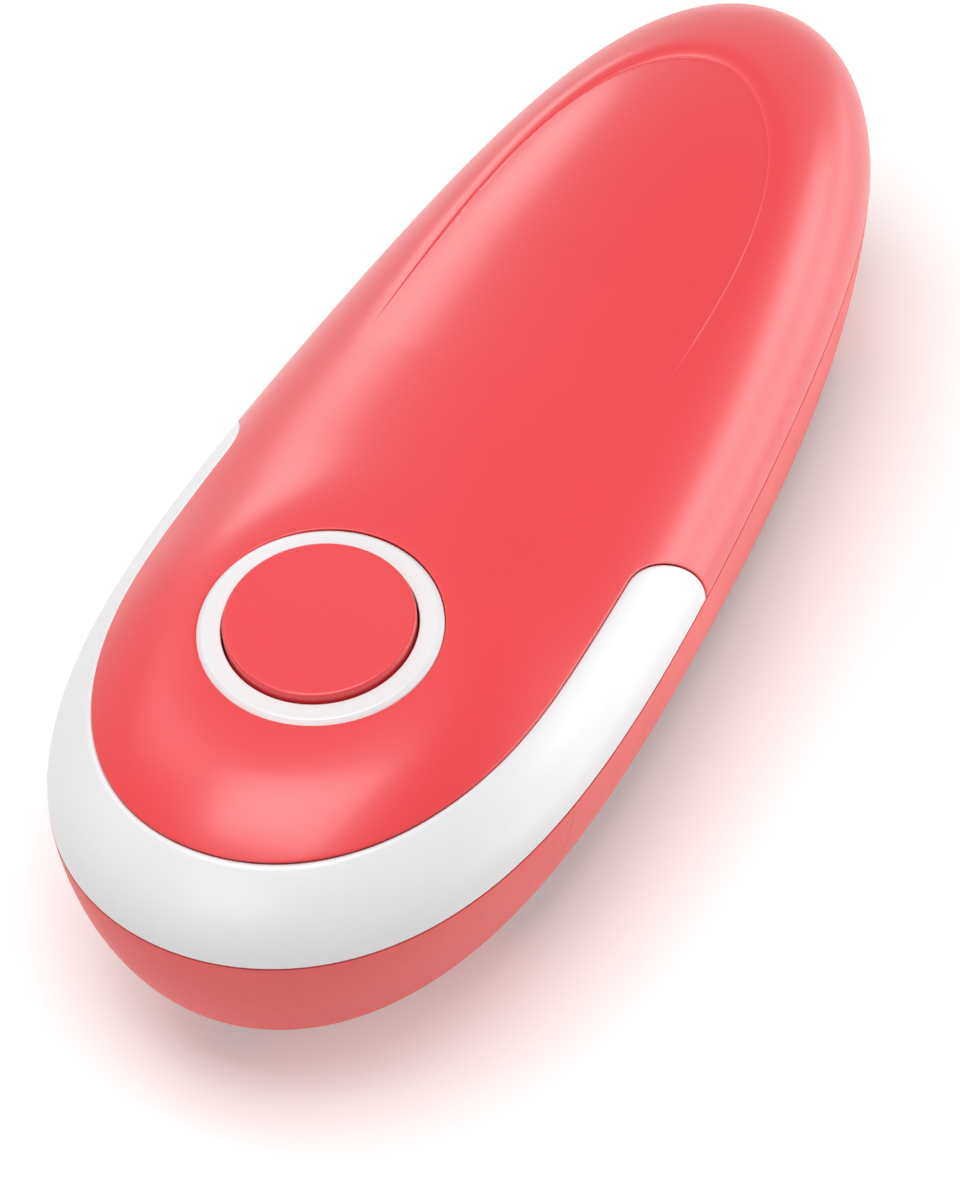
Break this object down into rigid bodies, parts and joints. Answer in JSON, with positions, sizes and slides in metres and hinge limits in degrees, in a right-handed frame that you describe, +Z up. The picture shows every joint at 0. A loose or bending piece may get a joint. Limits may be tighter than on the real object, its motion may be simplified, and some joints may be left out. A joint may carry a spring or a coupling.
{
  "type": "electric can opener",
  "caption": "Handheld battery can opener: rounded two-part shell, top push button in a bezel, drive wheel and swinging cutting disc under the head, lid magnet, motor with gear train.",
  "frame": {"origin": "centre of the bounding box on the plane that the opener rests on", "axes": "+Z up, +X from the nose with the button to the handle's tail, +Y across"},
  "size_m": [0.19, 0.0726, 0.0531],
  "materials": {
    "red_shell": "satin moulded",
    "coral_shell": "fine matt moulded",
    "white_trim": "satin moulded",
    "dark_plastic": "moulded",
    "nylon_gear": "moulded",
    "plated_steel": "zinc plated",
    "tool_steel": "ground",
    "bronze": "sintered",
    "foot_rubber": "matt",
    "board_green": "solder mask",
    "cell_jacket": "plain sleeve",
    "motor_steel": "drawn",
    "magnet_nickel": "nickel plated",
    "lead_jacket": "flexible"
  },
  "bodies": {
    "housing": {"upper_shell": "red_shell", "accent_band": "white_trim", "button_bezel": "white_trim", "nose_guard": "coral_shell", "rear_shell": "coral_shell", "heel_foot": "foot_rubber", "switch_cup": "dark_plastic", "switch_board": "board_green", "tact_switch": "dark_plastic", "button_spring": "plated_steel", "deck_plate": "plated_steel", "lower_gear_plate": "plated_steel", "upper_gear_plate": "plated_steel", "frame_posts": "plated_steel", "plate_screws": "plated_steel", "deck_screws": "plated_steel", "shaft_bushes": "bronze", "cam_washer": "plated_steel", "arm_pivot_pin": "tool_steel", "arm_spring": "plated_steel", "gear_pins": "tool_steel", "motor_can": "motor_steel", "motor_end_cap": "dark_plastic", "magnet_cup": "dark_plastic", "lid_magnet": "magnet_nickel", "rim_rests": "nylon_gear", "battery_tray": "dark_plastic", "aa_cells": "cell_jacket", "contact_springs": "plated_steel", "contact_plates": "plated_steel", "leads": "lead_jacket", "shell_screws": "plated_steel"},
    "button": {"push_button": "red_shell"},
    "drive_train": {"drive_wheel": "tool_steel", "drive_shaft": "tool_steel", "drive_gear": "nylon_gear"},
    "second_gear_set": {"second_gear": "nylon_gear"},
    "first_gear_set": {"first_gear": "nylon_gear"},
    "motor_rotor": {"motor_pinion": "bronze", "motor_shaft": "tool_steel"},
    "cam": {"cam_wheel": "nylon_gear"},
    "arm": {"cutter_arm": "plated_steel", "cutter_spindle": "plated_steel", "spindle_cap": "plated_steel"},
    "cutter": {"cutter_wheel": "tool_steel"},
    "door": {"battery_door": "coral_shell"}
  },
  "joints": [
    {"name": "button_press", "type": "slide", "parent": "housing", "child": "button", "axis": [0.0958, 0, -0.9954], "range_m": [0, 0.0015], "stiffness_N_per_m": 500, "springref_m": -0.002, "deforming": ["button_spring"]},
    {"name": "drive_spin", "type": "hinge", "parent": "housing", "child": "drive_train", "pos_m": [-0.0378, 0, 0], "axis": [0, 0, 1], "continuous": true},
    {"name": "second_spin", "type": "hinge", "parent": "housing", "child": "second_gear_set", "pos_m": [-0.02495, 0.01427, 0.028], "axis": [0, 0, 1], "continuous": true},
    {"name": "first_spin", "type": "hinge", "parent": "housing", "child": "first_gear_set", "pos_m": [-0.01108, 0.00343, 0.034], "axis": [0, 0, 1], "continuous": true},
    {"name": "motor_spin", "type": "hinge", "parent": "housing", "child": "motor_rotor", "pos_m": [-0.014, -0.01311, 0.03], "axis": [0, 0, 1], "continuous": true},
    {"name": "cam_turn", "type": "hinge", "parent": "housing", "child": "cam", "pos_m": [-0.0378, 0, 0.0114], "axis": [0, 0, 1], "range_deg": [0, 180]},
    {"name": "arm_swing", "type": "hinge", "parent": "housing", "child": "arm", "pos_m": [-0.0575, 0.0175, 0.0114], "axis": [0, 0, 1], "range_deg": [0, 15], "deforming": ["arm_spring"]},
    {"name": "cutter_spin", "type": "hinge", "parent": "arm", "child": "cutter", "pos_m": [-0.0598, 0, 0.0047], "axis": [0, 0, 1], "continuous": true},
    {"name": "battery_door_swing", "type": "hinge", "parent": "housing", "child": "door", "pos_m": [0.0629, 0, 0.0081], "axis": [0, -1, 0], "range_deg": [0, 85]}
  ],
  "couplings": [
    {"joint": "second_spin", "follows": "drive_spin", "ratio": -3},
    {"joint": "first_spin", "follows": "drive_spin", "ratio": 8},
    {"joint": "motor_spin", "follows": "drive_spin", "ratio": -25.6},
    {"joint": "arm_swing", "follows": "cam_turn", "ratio": 0.083333}
  ]
}
